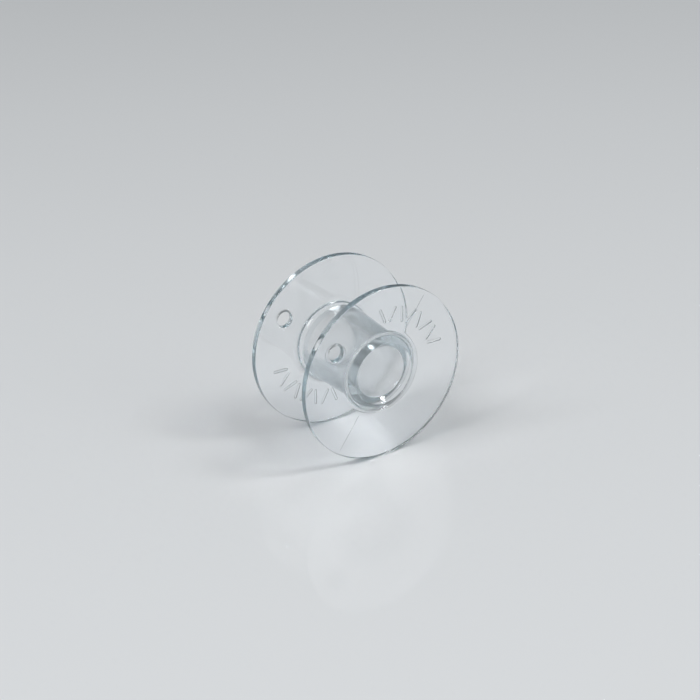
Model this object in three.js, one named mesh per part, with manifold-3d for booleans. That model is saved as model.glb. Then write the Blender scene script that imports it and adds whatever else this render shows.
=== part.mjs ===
// Sewing-machine bobbin, injection-moulded in clear plastic.
//
// Two mouldings, welded end to end around the bore:
//   spool_body   the front flange with the whole hub barrel
//   rear_flange  the rear flange with the short collar that the barrel is welded to
//
// Frame: millimetres, +Z up. The bobbin's axis is the Y axis, and the origin is the
// centre of the bore, half way between the two outer faces. The front flange is at -Y.
// The bobbin stands on both rims, so the ground is at z = -FLANGE_DIAMETER / 2.

import * as THREE from 'three';
import { mergeVertices } from 'three/addons/utils/BufferGeometryUtils.js';
import Module from 'manifold-3d';

const wasm = await Module();
wasm.setup();

// Driving dimensions, in millimetres.
const FLANGE_DIAMETER = 20.3;
const OVERALL_WIDTH = 10.9;
const FLANGE_THICKNESS = 0.75;
const BORE_DIAMETER = 6.06;

// The hub widens from the front flange to the weld, and the collar goes on to the other.
const BARREL_FOOT_DIAMETER = 8.2;
const BARREL_END_DIAMETER = 9.0;
const COLLAR_FOOT_DIAMETER = 9.1;
const COLLAR_END_DIAMETER = 9.0;

// Rounded and chamfered edges.
const RIM_EDGE_RADIUS = 0.12;
const MOUTH_CHAMFER = 0.6;
const BARREL_FILLET_RADIUS = 0.9;
const COLLAR_FILLET_RADIUS = 0.7;

// The weld between the two mouldings: where it is, and the clearance that stands for it.
const COLLAR_HEIGHT = 0.75;
const WELD_CLEARANCE = 0.3;

// The hole in each flange that the thread end is passed through.
const THREAD_HOLE_DIAMETER = 1.7;
const THREAD_HOLE_ROUNDING = 0.35;
const THREAD_HOLE_PITCH_RADIUS = 7.4;
const THREAD_HOLE_ANGLE = -56.5;

// The ornament sunk into each outer face: slanted stitch marks along an arc.
const STITCH_COUNT = 8;
const STITCH_LENGTH = 1.9;
const STITCH_WIDTH = 0.36;
const STITCH_DEPTH = 0.1;
const STITCH_SLANT = 20;
const STITCH_PITCH_RADIUS = 7.0;
const STITCH_SPACING = 10.5;
const FRONT_STITCH_START = -2;
const REAR_STITCH_START = -182;

// How finely round shapes are faceted.
const LATHE_SEGMENTS = 72;
const HOLE_SEGMENTS = 20;
const CURVE_DIVISIONS = 2;

// Which end of the bobbin a moulding is at, as the sign of its outer face's y.
const FRONT = -1;
const REAR = 1;

const FLANGE_RADIUS = FLANGE_DIAMETER / 2;
const BORE_RADIUS = BORE_DIAMETER / 2;
const OUTER_FACE = OVERALL_WIDTH / 2;
const INNER_FACE = OUTER_FACE - FLANGE_THICKNESS;
const WELD_PLANE = INNER_FACE - COLLAR_HEIGHT;

// A colourless styrene plastic with a faint cool tint, clear and glossy.
const clearPlastic = () => new THREE.MeshStandardMaterial({
  color: '#dfe8ee',
  roughness: 0.06,
  metalness: 0,
  transparent: true,
  opacity: 0.45,
});

// A closed three.js geometry as a manifold solid.
function toSolid(geometry) {
  const bare = geometry.clone();
  bare.deleteAttribute('normal');
  bare.deleteAttribute('uv');
  const merged = mergeVertices(bare, 1e-5);
  return new wasm.Manifold(new wasm.Mesh({
    numProp: 3,
    vertProperties: new Float32Array(merged.attributes.position.array),
    triVerts: new Uint32Array(merged.index.array),
  }));
}

// A manifold solid as a three.js geometry.
function toGeometry(solid) {
  const mesh = solid.getMesh();
  const geometry = new THREE.BufferGeometry();
  geometry.setAttribute('position', new THREE.BufferAttribute(mesh.vertProperties, 3));
  geometry.setIndex(new THREE.BufferAttribute(mesh.triVerts, 1));
  geometry.computeVertexNormals();
  return geometry;
}

// A point on a circle about the bobbin's axis, at an angle from +Z towards +X.
function polar(radius, degrees) {
  const angle = THREE.MathUtils.degToRad(degrees);
  return { x: radius * Math.sin(angle), z: radius * Math.cos(angle) };
}

// The hub of each moulding: its radius at the flange's face and at the weld, the radius of
// the fillet at its foot, and how far from y = 0 its weld face is.
const BARREL = {
  end: FRONT,
  foot: BARREL_FOOT_DIAMETER / 2,
  tip: BARREL_END_DIAMETER / 2,
  fillet: BARREL_FILLET_RADIUS,
  weldFace: -(WELD_PLANE - WELD_CLEARANCE / 2),
};
const COLLAR = {
  end: REAR,
  foot: COLLAR_FOOT_DIAMETER / 2,
  tip: COLLAR_END_DIAMETER / 2,
  fillet: COLLAR_FILLET_RADIUS,
  weldFace: WELD_PLANE + WELD_CLEARANCE / 2,
};

// Half the section of a moulding whose outer face is at y = +OUTER_FACE: across is the
// distance from the axis, and up is y. It runs from the weld along the bore's wall to the
// mouth's chamfer, out along the outer face, round the rim, back along the inner face and
// down the fillet to the hub's sloping surface, and closes across the weld face.
function sectionPath(hub) {
  const path = new THREE.Path();
  const quarter = Math.PI / 2;
  const rise = INNER_FACE - hub.weldFace;
  const slope = (hub.tip - hub.foot) / rise;
  path.moveTo(BORE_RADIUS, hub.weldFace);
  path.lineTo(BORE_RADIUS, OUTER_FACE - MOUTH_CHAMFER);
  path.lineTo(BORE_RADIUS + MOUTH_CHAMFER, OUTER_FACE);
  path.lineTo(FLANGE_RADIUS - RIM_EDGE_RADIUS, OUTER_FACE);
  path.absarc(
    FLANGE_RADIUS - RIM_EDGE_RADIUS, OUTER_FACE - RIM_EDGE_RADIUS,
    RIM_EDGE_RADIUS, quarter, 0, true,
  );
  path.lineTo(FLANGE_RADIUS, INNER_FACE + RIM_EDGE_RADIUS);
  path.absarc(
    FLANGE_RADIUS - RIM_EDGE_RADIUS, INNER_FACE + RIM_EDGE_RADIUS,
    RIM_EDGE_RADIUS, 0, -quarter, true,
  );
  path.lineTo(hub.foot + hub.fillet, INNER_FACE);
  path.quadraticCurveTo(
    hub.foot, INNER_FACE,
    hub.foot + slope * hub.fillet, INNER_FACE - hub.fillet,
  );
  path.lineTo(hub.tip, hub.weldFace);
  path.lineTo(BORE_RADIUS, hub.weldFace);
  return path;
}

// The section turned about the axis. The front moulding is the rear one's mirror image,
// and its section is walked the other way round, which keeps the faces outward.
function revolve(hub) {
  const points = sectionPath(hub).getPoints(CURVE_DIVISIONS);
  points.forEach((point) => {
    point.y *= hub.end;
  });
  if (hub.end === REAR) {
    points.reverse();
  }
  return new THREE.LatheGeometry(points, LATHE_SEGMENTS);
}

// The hole for the thread end, as a pin that flares at both faces of the flange, so that
// the hole's edges are rounded. It runs past both faces.
function threadHole(end) {
  const radius = THREAD_HOLE_DIAMETER / 2;
  const flared = radius + THREAD_HOLE_ROUNDING;
  const half = FLANGE_THICKNESS / 2;
  const past = half + FLANGE_THICKNESS;
  const waist = half - THREAD_HOLE_ROUNDING;
  const eased = THREAD_HOLE_ROUNDING * Math.SQRT1_2;
  const outline = [
    [0, -past],
    [flared, -past],
    [flared, -half],
    [flared - eased, -waist - eased],
    [radius, -waist],
    [radius, waist],
    [flared - eased, waist + eased],
    [flared, half],
    [flared, past],
    [0, past],
  ];
  const geometry = new THREE.LatheGeometry(
    outline.map(([across, up]) => new THREE.Vector2(across, up)), HOLE_SEGMENTS,
  );
  const place = polar(THREAD_HOLE_PITCH_RADIUS, THREAD_HOLE_ANGLE);
  geometry.translate(place.x, end * (OUTER_FACE - half), place.z);
  return geometry;
}

// One stitch mark: a slot with round ends, radial but for its slant.
function stitchMark(end, angle, slant) {
  const half = (STITCH_LENGTH - STITCH_WIDTH) / 2;
  const outline = new THREE.Shape();
  outline.absarc(0, half, STITCH_WIDTH / 2, 0, Math.PI, false);
  outline.absarc(0, -half, STITCH_WIDTH / 2, Math.PI, 2 * Math.PI, false);
  const geometry = new THREE.ExtrudeGeometry(outline, {
    depth: 2 * STITCH_DEPTH,
    bevelEnabled: false,
    curveSegments: 3,
  });
  const place = polar(STITCH_PITCH_RADIUS, angle);
  geometry.translate(0, 0, -STITCH_DEPTH);
  geometry.rotateZ(THREE.MathUtils.degToRad(slant - angle));
  geometry.rotateX(Math.PI / 2);
  geometry.translate(place.x, end * OUTER_FACE, place.z);
  return geometry;
}

// The row of stitch marks on one outer face, slanted to and fro like a zigzag stitch.
function stitchRow(end) {
  const start = end === FRONT ? FRONT_STITCH_START : REAR_STITCH_START;
  return Array.from({ length: STITCH_COUNT }, (_, index) => {
    const slant = index % 2 === 0 ? STITCH_SLANT : -STITCH_SLANT;
    return stitchMark(end, start + index * STITCH_SPACING, slant);
  });
}

// One moulding: the turned section less its thread hole and stitch marks.
function moulding(name, hub) {
  const cutters = [threadHole(hub.end), ...stitchRow(hub.end)];
  const solid = cutters.reduce(
    (body, cutter) => body.subtract(toSolid(cutter)),
    toSolid(revolve(hub)),
  );
  const mesh = new THREE.Mesh(toGeometry(solid), clearPlastic());
  mesh.name = name;
  return mesh;
}

const bobbin = new THREE.Group();
bobbin.name = 'bobbin';
bobbin.add(moulding('spool_body', BARREL), moulding('rear_flange', COLLAR));

export default bobbin;
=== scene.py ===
"""Builds the looks of a clear plastic sewing-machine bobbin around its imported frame.

The bobbin is two injection mouldings welded end to end: a spool body, which is the front
flange with the hub barrel, and a rear flange with a short collar. Its axis is Y, the
origin is the centre of the bore, and it stands on both rims. Lengths are in metres.
"""

import logging
import math
from dataclasses import dataclass
from enum import Enum
from typing import Callable, Optional

import bmesh
import bpy
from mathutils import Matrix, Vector

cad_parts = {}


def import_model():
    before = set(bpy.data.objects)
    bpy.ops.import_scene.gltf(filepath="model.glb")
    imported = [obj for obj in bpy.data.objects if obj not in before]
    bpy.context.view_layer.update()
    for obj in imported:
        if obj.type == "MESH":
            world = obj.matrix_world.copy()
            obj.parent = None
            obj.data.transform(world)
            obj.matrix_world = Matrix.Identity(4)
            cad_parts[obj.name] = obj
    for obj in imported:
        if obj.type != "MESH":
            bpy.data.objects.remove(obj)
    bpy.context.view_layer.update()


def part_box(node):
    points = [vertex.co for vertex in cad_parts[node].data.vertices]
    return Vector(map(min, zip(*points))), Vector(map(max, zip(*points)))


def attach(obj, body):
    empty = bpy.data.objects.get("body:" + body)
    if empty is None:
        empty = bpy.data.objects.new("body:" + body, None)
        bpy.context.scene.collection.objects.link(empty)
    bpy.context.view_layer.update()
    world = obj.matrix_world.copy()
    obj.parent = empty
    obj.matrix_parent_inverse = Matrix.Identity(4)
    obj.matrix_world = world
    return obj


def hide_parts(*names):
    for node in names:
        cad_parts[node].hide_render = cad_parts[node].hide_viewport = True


log = logging.getLogger("bobbin")

MM = 0.001
NEAR = 0.01 * MM
FACES_ALONG_AXIS = 0.9999
ROOT_BODY = "root"


class End(Enum):
    """Which end of the bobbin a moulding is at: the sign of its outer face's y."""

    FRONT = -1
    REAR = 1


class Element(Enum):
    """What a selection in edit mode is made of."""

    VERT = "VERT"
    EDGE = "EDGE"
    FACE = "FACE"


# ---------------------------------------------------------------- small tools


def linear(hex_colour: str) -> tuple[float, float, float, float]:
    """Turns an sRGB hex colour into linear values.

    Args:
        hex_colour: Six hex digits after a hash sign.

    Returns:
        Red, green, blue and an alpha of 1.
    """
    channels = [int(hex_colour[i:i + 2], 16) / 255 for i in (1, 3, 5)]
    return (*(c / 12.92 if c <= 0.04045 else ((c + 0.055) / 1.055) ** 2.4 for c in channels), 1.0)


def polar(radius: float, degrees: float, y: float) -> Vector:
    """Gives a point on a circle about the bobbin's axis.

    Args:
        radius: The circle's radius.
        degrees: The angle from +Z towards +X.
        y: How far along the axis the circle is.

    Returns:
        The point.
    """
    angle = math.radians(degrees)
    return Vector((radius * math.sin(angle), y, radius * math.cos(angle)))


def deselect_all() -> None:
    """Leaves edit mode and deselects every object."""
    if bpy.context.mode != "OBJECT":
        bpy.ops.object.mode_set(mode="OBJECT")
    bpy.ops.object.select_all(action="DESELECT")


def activate(piece: bpy.types.Object) -> None:
    """Makes a piece the only selected object, and the active one."""
    deselect_all()
    piece.select_set(True)
    bpy.context.view_layer.objects.active = piece


def select_where(element: Element, test: Callable[[Vector], bool]) -> None:
    """Selects parts of the mesh in edit mode by where their middles are.

    Args:
        element: Whether vertices, edges or faces are selected.
        test: Says whether a middle is in the selection.
    """
    bpy.ops.mesh.select_all(action="DESELECT")
    bpy.ops.mesh.select_mode(type=element.value)
    mesh = bmesh.from_edit_mesh(bpy.context.edit_object.data)
    parts = {Element.VERT: mesh.verts, Element.EDGE: mesh.edges, Element.FACE: mesh.faces}
    for item in parts[element]:
        if element is Element.VERT:
            middle = item.co
        elif element is Element.EDGE:
            middle = (item.verts[0].co + item.verts[1].co) / 2
        else:
            middle = item.calc_center_median()
        if test(middle):
            item.select_set(True)
    mesh.select_flush_mode()
    bmesh.update_edit_mesh(bpy.context.edit_object.data)


def apply_modifier(piece: bpy.types.Object, kind: str, **settings: object) -> None:
    """Adds a modifier to a piece and applies it.

    Args:
        piece: The piece to change.
        kind: The modifier's type.
        **settings: Values for the modifier.
    """
    activate(piece)
    modifier = piece.modifiers.new(kind.lower(), kind)
    for name, value in settings.items():
        setattr(modifier, name, value)
    bpy.ops.object.modifier_apply(modifier=modifier.name)


def cut_out(piece: bpy.types.Object, tools: list[bpy.types.Object]) -> None:
    """Joins the tools, cuts them out of a piece, and removes them.

    Args:
        piece: The piece that is changed.
        tools: Closed meshes that don't touch each other.
    """
    activate(tools[0])
    for tool in tools[1:]:
        tool.select_set(True)
    bpy.ops.object.join()
    joined = bpy.context.view_layer.objects.active
    apply_modifier(piece, "BOOLEAN", operation="DIFFERENCE", object=joined, solver="EXACT")
    bpy.data.objects.remove(joined, do_unlink=True)


def add_node(
    tree: bpy.types.NodeTree,
    kind: str,
    settings: Optional[dict[str, object]] = None,
    values: Optional[dict[str, object]] = None,
    links: Optional[dict[str, bpy.types.NodeSocket]] = None,
) -> bpy.types.Node:
    """Adds a shader node with its settings, values and links.

    Args:
        tree: The node tree.
        kind: The node's type.
        settings: Attributes of the node.
        values: Input socket to its fixed value.
        links: Input socket to the output that feeds it.

    Returns:
        The new node.
    """
    node = tree.nodes.new(kind)
    for name, value in (settings or {}).items():
        setattr(node, name, value)
    for socket, value in (values or {}).items():
        node.inputs[socket].default_value = value
    for socket, source in (links or {}).items():
        tree.links.new(source, node.inputs[socket])
    return node


# ---------------------------------------------------------------- finishes


@dataclass(frozen=True)
class ClearStyrene:
    """General-purpose polystyrene, injection-moulded in a polished mould.

    It is colourless but for a cool cast that shows where light runs a long way inside, at
    the rims, and it has a hard gloss with the faint ripple of a moulded surface. The hub is
    duller between the flanges, because the steel that shapes it there is less polished.
    """

    name: str = "clear_styrene"
    body: str = "#fdfeff"
    ior: float = 1.58
    roughness: float = 0.012
    handled_roughness: float = 0.05
    hub_roughness: float = 0.15
    hub_radius: float = 4.6 * MM
    hub_half_length: float = 3.7 * MM
    hub_blend: float = 0.5 * MM
    cast: str = "#93b4be"
    cast_per_metre: float = 45.0
    ripple_size: float = 2.5 * MM
    ripple_depth: float = 0.004 * MM
    grime_size: float = 1.2 * MM
    grime_from: float = 0.55
    grime_to: float = 0.8

    def make(self) -> bpy.types.Material:
        """Makes the material."""
        material = bpy.data.materials.new(self.name)
        material.use_nodes = True
        tree = material.node_tree
        tree.nodes.clear()
        place = add_node(tree, "ShaderNodeTexCoord").outputs["Object"]
        ripple = add_node(
            tree, "ShaderNodeTexNoise",
            values={"Scale": 1 / self.ripple_size, "Detail": 2.0, "Roughness": 0.4},
            links={"Vector": place},
        )
        bump = add_node(
            tree, "ShaderNodeBump",
            values={"Strength": 1.0, "Distance": self.ripple_depth},
            links={"Height": ripple.outputs["Fac"]},
        )
        grime = add_node(
            tree, "ShaderNodeTexNoise",
            values={"Scale": 1 / self.grime_size, "Detail": 5.0, "Roughness": 0.6},
            links={"Vector": place},
        )
        gloss = add_node(
            tree, "ShaderNodeMapRange",
            values={
                "From Min": self.grime_from, "From Max": self.grime_to,
                "To Min": self.roughness, "To Max": self.handled_roughness,
            },
            links={"Value": grime.outputs["Fac"]},
        )
        across = add_node(
            tree, "ShaderNodeMapping", values={"Scale": (1.0, 0.0, 1.0)}, links={"Vector": place},
        )
        radius = add_node(
            tree, "ShaderNodeVectorMath", settings={"operation": "LENGTH"},
            links={"Vector": across.outputs["Vector"]},
        )
        along = add_node(
            tree, "ShaderNodeMapping", values={"Scale": (0.0, 1.0, 0.0)}, links={"Vector": place},
        )
        offset = add_node(
            tree, "ShaderNodeVectorMath", settings={"operation": "LENGTH"},
            links={"Vector": along.outputs["Vector"]},
        )
        dull = add_node(
            tree, "ShaderNodeMapRange",
            values={
                "From Min": self.hub_half_length,
                "From Max": self.hub_half_length + self.hub_blend,
                "To Min": self.hub_roughness,
            },
            links={"Value": offset.outputs["Value"], "To Max": gloss.outputs["Result"]},
        )
        polish = add_node(
            tree, "ShaderNodeMapRange",
            values={"From Min": self.hub_radius, "From Max": self.hub_radius + self.hub_blend},
            links={
                "Value": radius.outputs["Value"],
                "To Min": dull.outputs["Result"], "To Max": gloss.outputs["Result"],
            },
        )
        surface = add_node(
            tree, "ShaderNodeBsdfPrincipled",
            values={
                "Base Color": linear(self.body), "IOR": self.ior, "Transmission Weight": 1.0,
            },
            links={"Roughness": polish.outputs["Result"], "Normal": bump.outputs["Normal"]},
        )
        inside = add_node(
            tree, "ShaderNodeVolumeAbsorption",
            values={"Color": linear(self.cast), "Density": self.cast_per_metre},
        )
        add_node(
            tree, "ShaderNodeOutputMaterial",
            links={"Surface": surface.outputs["BSDF"], "Volume": inside.outputs["Volume"]},
        )
        return material


@dataclass(frozen=True)
class GlossBoard:
    """White melamine-faced board: a pale, even, glossy sheet that mirrors faintly."""

    name: str = "gloss_board"
    body: str = "#e6e8ea"
    roughness: float = 0.0015
    ior: float = 1.5
    mottle_size: float = 60 * MM
    mottle: float = 0.001

    def make(self) -> bpy.types.Material:
        """Makes the material."""
        material = bpy.data.materials.new(self.name)
        material.use_nodes = True
        tree = material.node_tree
        tree.nodes.clear()
        place = add_node(tree, "ShaderNodeTexCoord").outputs["Object"]
        mottle = add_node(
            tree, "ShaderNodeTexNoise",
            values={"Scale": 1 / self.mottle_size, "Detail": 2.0},
            links={"Vector": place},
        )
        gloss = add_node(
            tree, "ShaderNodeMapRange",
            values={
                "To Min": self.roughness - self.mottle, "To Max": self.roughness + self.mottle,
            },
            links={"Value": mottle.outputs["Fac"]},
        )
        surface = add_node(
            tree, "ShaderNodeBsdfPrincipled",
            values={"Base Color": linear(self.body), "IOR": self.ior},
            links={"Roughness": gloss.outputs["Result"]},
        )
        add_node(
            tree, "ShaderNodeOutputMaterial", links={"Surface": surface.outputs["BSDF"]},
        )
        return material


# ---------------------------------------------------------------- the bobbin


@dataclass
class Moulding:
    """One of the two mouldings: a flange with a tube that ends at the weld.

    Its section is drawn in the plane z = 0, with x as the distance from the axis, and is
    spun about Y.
    """

    name: str
    node: str
    end: End
    flange_radius: float
    outer_face: float
    weld_y: float
    root_radius: float
    end_radius: float
    root_fillet: float
    end_round: float
    flange_thickness: float = 0.75 * MM
    bore_radius: float = 3.03 * MM
    rim_round: float = 0.12 * MM
    mouth_chamfer: float = 0.6 * MM
    edge_round: float = 0.07 * MM
    weld_overlap: float = 0.004 * MM
    hole_radius: float = 0.85 * MM
    hole_pitch_radius: float = 7.4 * MM
    hole_angle: float = -56.5
    hole_round: float = 0.35 * MM
    hole_facets: int = 72
    hole_steps: int = 6
    hole_past: float = 0.3 * MM
    stitch_start: float = -2.0
    stitch_count: int = 8
    stitch_spacing: float = 10.5
    stitch_length: float = 1.9 * MM
    stitch_width: float = 0.36 * MM
    stitch_depth: float = 0.1 * MM
    stitch_slant: float = 20.0
    stitch_pitch_radius: float = 7.0 * MM
    flow_angles: tuple[float, ...] = ()
    flow_pitch_radius: float = 7.5 * MM
    flow_length: float = 4.2 * MM
    flow_width: float = 0.07 * MM
    flow_depth: float = 0.03 * MM
    turns: int = 288
    arc_steps: int = 10
    edge_steps: int = 4
    join_distance: float = 0.0005 * MM
    sliver: float = 0.0002 * MM
    smooth_angle: float = 35.0

    @property
    def inner_face(self) -> float:
        """The y of the flange's face towards the thread."""
        return self.outer_face - self.end.value * self.flange_thickness

    @property
    def weld_end(self) -> float:
        """The y where the tube ends, just past the weld's middle."""
        return self.weld_y - self.end.value * self.weld_overlap

    def draw_section(self) -> bpy.types.Object:
        """Draws half the section as one flat face with sharp corners.

        Returns:
            The section, in edit mode.
        """
        deselect_all()
        bpy.ops.mesh.primitive_plane_add(size=1.0, enter_editmode=True)
        section = bpy.context.object
        section.name = self.name
        middle_y = (self.outer_face + self.inner_face) / 2
        width = self.flange_radius - self.bore_radius
        bpy.ops.transform.resize(
            value=(width, self.flange_thickness, 1.0), center_override=(0, 0, 0),
        )
        bpy.ops.transform.translate(value=(self.bore_radius + width / 2, middle_y, 0))
        bpy.ops.mesh.bisect(plane_co=(self.root_radius, 0, 0), plane_no=(1, 0, 0))
        select_where(
            Element.EDGE,
            lambda p: p.x < self.root_radius - NEAR and abs(p.y - self.inner_face) < NEAR,
        )
        bpy.ops.mesh.extrude_region_move(
            TRANSFORM_OT_translate={"value": (0, self.weld_end - self.inner_face, 0)},
        )
        self.pick(self.root_radius, self.weld_end)
        bpy.ops.transform.translate(value=(self.end_radius - self.root_radius, 0, 0))
        bpy.ops.mesh.select_mode(type="FACE")
        bpy.ops.mesh.select_all(action="SELECT")
        bpy.ops.mesh.dissolve_faces()
        self.pick(self.root_radius, self.outer_face)
        bpy.ops.mesh.dissolve_verts()
        return section

    def pick(self, x: float, y: float) -> None:
        """Selects the section's vertex at one place."""
        select_where(Element.VERT, lambda p: abs(p.x - x) < NEAR and abs(p.y - y) < NEAR)

    def round_corner(self, x: float, y: float, radius: float, steps: int) -> None:
        """Rounds one corner of the section in edit mode, or cuts it off flat in one step."""
        self.pick(x, y)
        bpy.ops.mesh.bevel(affect="VERTICES", offset=radius, segments=steps, profile=0.5)

    def round_section(self) -> None:
        """Chamfers the mouth and rounds the rim, the hub's root and its outer end."""
        bore, face, steps = self.bore_radius, self.outer_face, self.arc_steps
        depth = self.end.value * self.mouth_chamfer
        self.round_corner(bore, face, self.mouth_chamfer, 1)
        self.round_corner(bore + self.mouth_chamfer, face, self.edge_round, self.edge_steps)
        self.round_corner(bore, face - depth, self.edge_round, self.edge_steps)
        self.round_corner(self.flange_radius, face, self.rim_round, steps)
        self.round_corner(self.flange_radius, self.inner_face, self.rim_round, steps)
        self.round_corner(self.root_radius, self.inner_face, self.root_fillet, steps)
        self.round_corner(self.end_radius, self.weld_end, self.end_round, self.edge_steps)

    def spin_section(self) -> None:
        """Spins the section's outline about the axis and closes it."""
        bpy.ops.mesh.select_mode(type="FACE")
        bpy.ops.mesh.select_all(action="SELECT")
        bpy.ops.mesh.delete(type="ONLY_FACE")
        bpy.ops.mesh.select_mode(type="EDGE")
        bpy.ops.mesh.select_all(action="SELECT")
        bpy.ops.mesh.spin(steps=self.turns, angle=2 * math.pi, center=(0, 0, 0), axis=(0, 1, 0))
        bpy.ops.mesh.select_all(action="SELECT")
        bpy.ops.mesh.remove_doubles(threshold=self.join_distance)
        bpy.ops.mesh.normals_make_consistent(inside=False)
        bpy.ops.object.mode_set(mode="OBJECT")

    def extrude_levels(self, at: float, levels: list[tuple[float, float]]) -> None:
        """Extrudes the selected disc along Y through a row of levels, in edit mode.

        Args:
            at: The disc's y. Its radius is that of the hole.
            levels: The y and the radius of each level.
        """
        radius = self.hole_radius
        for y, r in levels:
            bpy.ops.mesh.extrude_region_move(TRANSFORM_OT_translate={"value": (0, y - at, 0)})
            grow = r / radius
            bpy.ops.transform.resize(value=(grow, 1, grow), center_override=(0, y, 0))
            at, radius = y, r

    def hole_cutter(self) -> bpy.types.Object:
        """Models a pin that flares at both faces, so that the hole it cuts has round edges."""
        deselect_all()
        bpy.ops.mesh.primitive_circle_add(
            vertices=self.hole_facets, radius=self.hole_radius, fill_type="NGON",
            enter_editmode=True, rotation=(math.pi / 2, 0, 0),
        )
        cutter = bpy.context.object
        bpy.ops.object.mode_set(mode="OBJECT")
        bpy.ops.object.transform_apply(location=True, rotation=True, scale=True)
        bpy.ops.object.mode_set(mode="EDIT")
        bpy.ops.mesh.select_all(action="SELECT")
        half = self.flange_thickness / 2
        straight = half - self.hole_round
        bpy.ops.transform.translate(value=(0, -straight, 0))
        flare = []
        for step in range(1, self.hole_steps + 1):
            angle = math.pi / 2 * step / self.hole_steps
            flare.append((
                straight + self.hole_round * math.sin(angle),
                self.hole_radius + self.hole_round * (1 - math.cos(angle)),
            ))
        flare.append((half + self.hole_past, self.hole_radius + self.hole_round))
        self.extrude_levels(-straight, [(straight, self.hole_radius), *flare])
        select_where(Element.FACE, lambda p: abs(p.y + straight) < 0.1 * NEAR)
        self.extrude_levels(-straight, [(-y, r) for y, r in flare])
        bpy.ops.mesh.select_all(action="SELECT")
        bpy.ops.mesh.normals_make_consistent(inside=False)
        middle_y = (self.outer_face + self.inner_face) / 2
        bpy.ops.transform.translate(value=polar(self.hole_pitch_radius, self.hole_angle, middle_y))
        bpy.ops.object.mode_set(mode="OBJECT")
        return cutter

    def bar_cutter(self, length: float, width: float, depth: float) -> bpy.types.Object:
        """Models a round-ended bar at the origin, along Z, to sink half into a flat face.

        Args:
            length: Its length.
            width: Its width across the face.
            depth: How deep the groove is that it cuts.

        Returns:
            The bar.
        """
        deselect_all()
        radius = width / 2
        bpy.ops.mesh.primitive_uv_sphere_add(
            segments=20, ring_count=10, radius=radius, enter_editmode=True,
        )
        bar = bpy.context.object
        half = length / 2 - radius
        select_where(Element.VERT, lambda p: p.z > 0.01 * radius)
        bpy.ops.transform.translate(value=(0, 0, half))
        select_where(Element.VERT, lambda p: p.z < half / 2)
        bpy.ops.transform.translate(value=(0, 0, -half))
        bpy.ops.mesh.select_all(action="SELECT")
        bpy.ops.transform.resize(value=(1, depth / radius, 1), center_override=(0, 0, 0))
        bpy.ops.object.mode_set(mode="OBJECT")
        return bar

    def place_bar(
        self, bar: bpy.types.Object, radius: float, angle: float, slant: float, y: float,
    ) -> bpy.types.Object:
        """Copies a bar to its place on a face of the flange.

        Args:
            bar: The bar at the origin.
            radius: How far its middle is from the axis.
            angle: The angle of its middle about the axis, in degrees.
            slant: How far it leans from the radial direction, in degrees.
            y: The y of the face.

        Returns:
            The placed copy.
        """
        copy = bar.copy()
        copy.data = bar.data.copy()
        bpy.context.collection.objects.link(copy)
        copy.rotation_euler = (0, math.radians(angle - slant), 0)
        copy.location = polar(radius, angle, y)
        activate(copy)
        bpy.ops.object.transform_apply(location=True, rotation=True, scale=True)
        return copy

    def cut(self, piece: bpy.types.Object) -> None:
        """Cuts the thread hole, the stitch marks and the flow lines left by moulding."""
        stitch = self.bar_cutter(self.stitch_length, self.stitch_width, self.stitch_depth)
        flow = self.bar_cutter(self.flow_length, self.flow_width, self.flow_depth)
        tools = [self.hole_cutter()]
        for index in range(self.stitch_count):
            angle = self.stitch_start + index * self.stitch_spacing
            slant = self.stitch_slant if index % 2 == 0 else -self.stitch_slant
            tools.append(
                self.place_bar(stitch, self.stitch_pitch_radius, angle, slant, self.outer_face)
            )
        for angle in self.flow_angles:
            tools.append(
                self.place_bar(flow, self.flow_pitch_radius, angle, 0.0, self.inner_face)
            )
        for bar in (stitch, flow):
            bpy.data.objects.remove(bar, do_unlink=True)
        cut_out(piece, tools)
        activate(piece)
        bpy.ops.object.mode_set(mode="EDIT")
        bpy.ops.mesh.select_all(action="SELECT")
        bpy.ops.mesh.dissolve_degenerate(threshold=self.sliver)
        bpy.ops.object.mode_set(mode="OBJECT")

    def smooth(self, piece: bpy.types.Object) -> None:
        """Shades the piece smooth, with its flat faces kept flat."""
        activate(piece)
        bpy.ops.object.shade_smooth_by_angle(angle=math.radians(self.smooth_angle))
        apply_modifier(piece, "WEIGHTED_NORMAL", mode="FACE_AREA", weight=100, keep_sharp=True)
        normals = [corner.vector.copy() for corner in piece.data.corner_normals]
        for face in piece.data.polygons:
            if abs(face.normal.y) > FACES_ALONG_AXIS:
                for corner in face.loop_indices:
                    normals[corner] = face.normal.copy()
        piece.data.normals_split_custom_set(normals)

    def build(self, finish: bpy.types.Material) -> bpy.types.Object:
        """Builds the moulding and puts it in the place of its node.

        Args:
            finish: Its material.

        Returns:
            The finished piece.
        """
        piece = self.draw_section()
        self.round_section()
        self.spin_section()
        self.cut(piece)
        self.smooth(piece)
        piece.data.materials.clear()
        piece.data.materials.append(finish)
        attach(piece, ROOT_BODY)
        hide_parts(self.node)
        log.info("%s: %d faces", piece.name, len(piece.data.polygons))
        return piece


# ---------------------------------------------------------------- the studio


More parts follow.
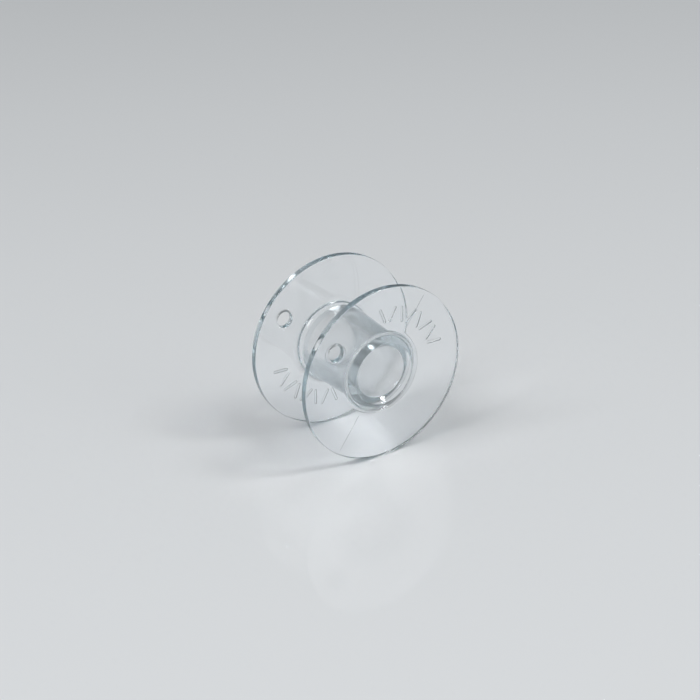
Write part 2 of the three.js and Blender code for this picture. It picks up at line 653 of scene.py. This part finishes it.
@dataclass
class Studio:
    """A pale glossy floor, soft lights at both sides, and the camera."""

    floor_z: float
    scale: float
    floor_size: float = 6.0
    azimuth: float = -33.9
    elevation: float = 26.68
    distance: float = 20.34
    aim: tuple[float, float, float] = (-0.0759, 0.0, 0.0837)
    sensor: float = 36.0
    lens: float = 96.33
    clip_start: float = 0.01
    light_distance: float = 0.65
    room_colour: str = "#c8ccce"
    room_strength: float = 0.38
    bounces: int = 128

    def lay_floor(self) -> None:
        """Lays the floor."""
        deselect_all()
        bpy.ops.mesh.primitive_plane_add(size=self.floor_size, location=(0, 0, self.floor_z))
        floor = bpy.context.object
        floor.name = "floor"
        bpy.ops.object.transform_apply(location=True, rotation=True, scale=True)
        floor.data.materials.append(GlossBoard().make())

    def hang_light(
        self, name: str, azimuth: float, elevation: float, distance: float,
        side: float, power: float,
    ) -> None:
        """Hangs a square white soft light that faces the bobbin.

        Args:
            name: The light's name.
            azimuth: Where it is round the bobbin, as for the camera, in degrees.
            elevation: Its height above the horizon, in degrees.
            distance: How far off it is.
            side: The length of its side.
            power: Its power in watts.
        """
        back = self.direction(azimuth, elevation)
        data = bpy.data.lights.new(name, "AREA")
        data.shape = "SQUARE"
        data.size = side
        data.energy = power
        light = bpy.data.objects.new(name, data)
        light.location = back * distance
        light.rotation_euler = (-back).to_track_quat("-Z", "Y").to_euler()
        bpy.context.collection.objects.link(light)

    def direction(self, azimuth: float, elevation: float) -> Vector:
        """Gives the unit vector from the bobbin towards a place round it."""
        a, e = math.radians(azimuth), math.radians(elevation)
        return Vector((math.sin(a) * math.cos(e), -math.cos(a) * math.cos(e), math.sin(e)))

    def light_up(self) -> None:
        """Hangs the lights and sets the room's own soft light."""
        self.hang_light("left_softbox", -91, 46, self.light_distance, 0.24, 1.95)
        self.hang_light("right_softbox", 46, 52, self.light_distance, 0.16, 1.5)
        self.hang_light("front_softbox", 34, 28, self.light_distance, 0.25, 0.45)
        world = bpy.data.worlds.new("room")
        world.use_nodes = True
        tree = world.node_tree
        tree.nodes.clear()
        room = add_node(
            tree, "ShaderNodeBackground",
            values={"Color": linear(self.room_colour), "Strength": self.room_strength},
        )
        add_node(tree, "ShaderNodeOutputWorld", links={"Surface": room.outputs["Background"]})
        bpy.context.scene.world = world

    def place_camera(self) -> None:
        """Places the camera."""
        data = bpy.data.cameras.new("camera")
        data.sensor_width = self.sensor
        data.lens = self.lens
        camera = bpy.data.objects.new("camera", data)
        back = self.direction(self.azimuth, self.elevation)
        camera.location = (Vector(self.aim) + back * self.distance) * self.scale
        camera.rotation_euler = (-back).to_track_quat("-Z", "Y").to_euler()
        bpy.context.collection.objects.link(camera)
        data.clip_start = self.clip_start
        bpy.context.scene.camera = camera

    def set_up(self) -> None:
        """Sets the studio up, and lets light run on inside the clear plastic."""
        self.place_camera()
        self.lay_floor()
        self.light_up()
        scene = bpy.context.scene
        scene.view_settings.view_transform = "Standard"
        scene.cycles.max_bounces = self.bounces
        scene.cycles.transmission_bounces = self.bounces
        scene.cycles.glossy_bounces = self.bounces
        scene.cycles.blur_glossy = 0.0
        scene.cycles.sample_clamp_indirect = 0.0


# ---------------------------------------------------------------- main


def main() -> None:
    """Builds the bobbin and the studio round it."""
    logging.basicConfig(level=logging.INFO, format="%(name)s: %(message)s")
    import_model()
    body_low, body_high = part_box("spool_body")
    flange_low, flange_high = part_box("rear_flange")
    radius = body_high.x
    weld_y = (body_high.y + flange_low.y) / 2

    plastic = ClearStyrene().make()
    Moulding(
        "clear_spool_body", "spool_body", End.FRONT, radius, body_low.y, weld_y,
        root_radius=4.1 * MM, end_radius=4.5 * MM, root_fillet=0.9 * MM, end_round=0.04 * MM,
        flow_angles=(34.5, 214.5),
    ).build(plastic)
    Moulding(
        "clear_rear_flange", "rear_flange", End.REAR, radius, flange_high.y, weld_y,
        root_radius=4.55 * MM, end_radius=4.5 * MM, root_fillet=0.7 * MM, end_round=0.04 * MM,
        stitch_start=-182.0,
    ).build(plastic)
    Studio(floor_z=-radius, scale=radius).set_up()


if __name__ == "__main__":
    main()
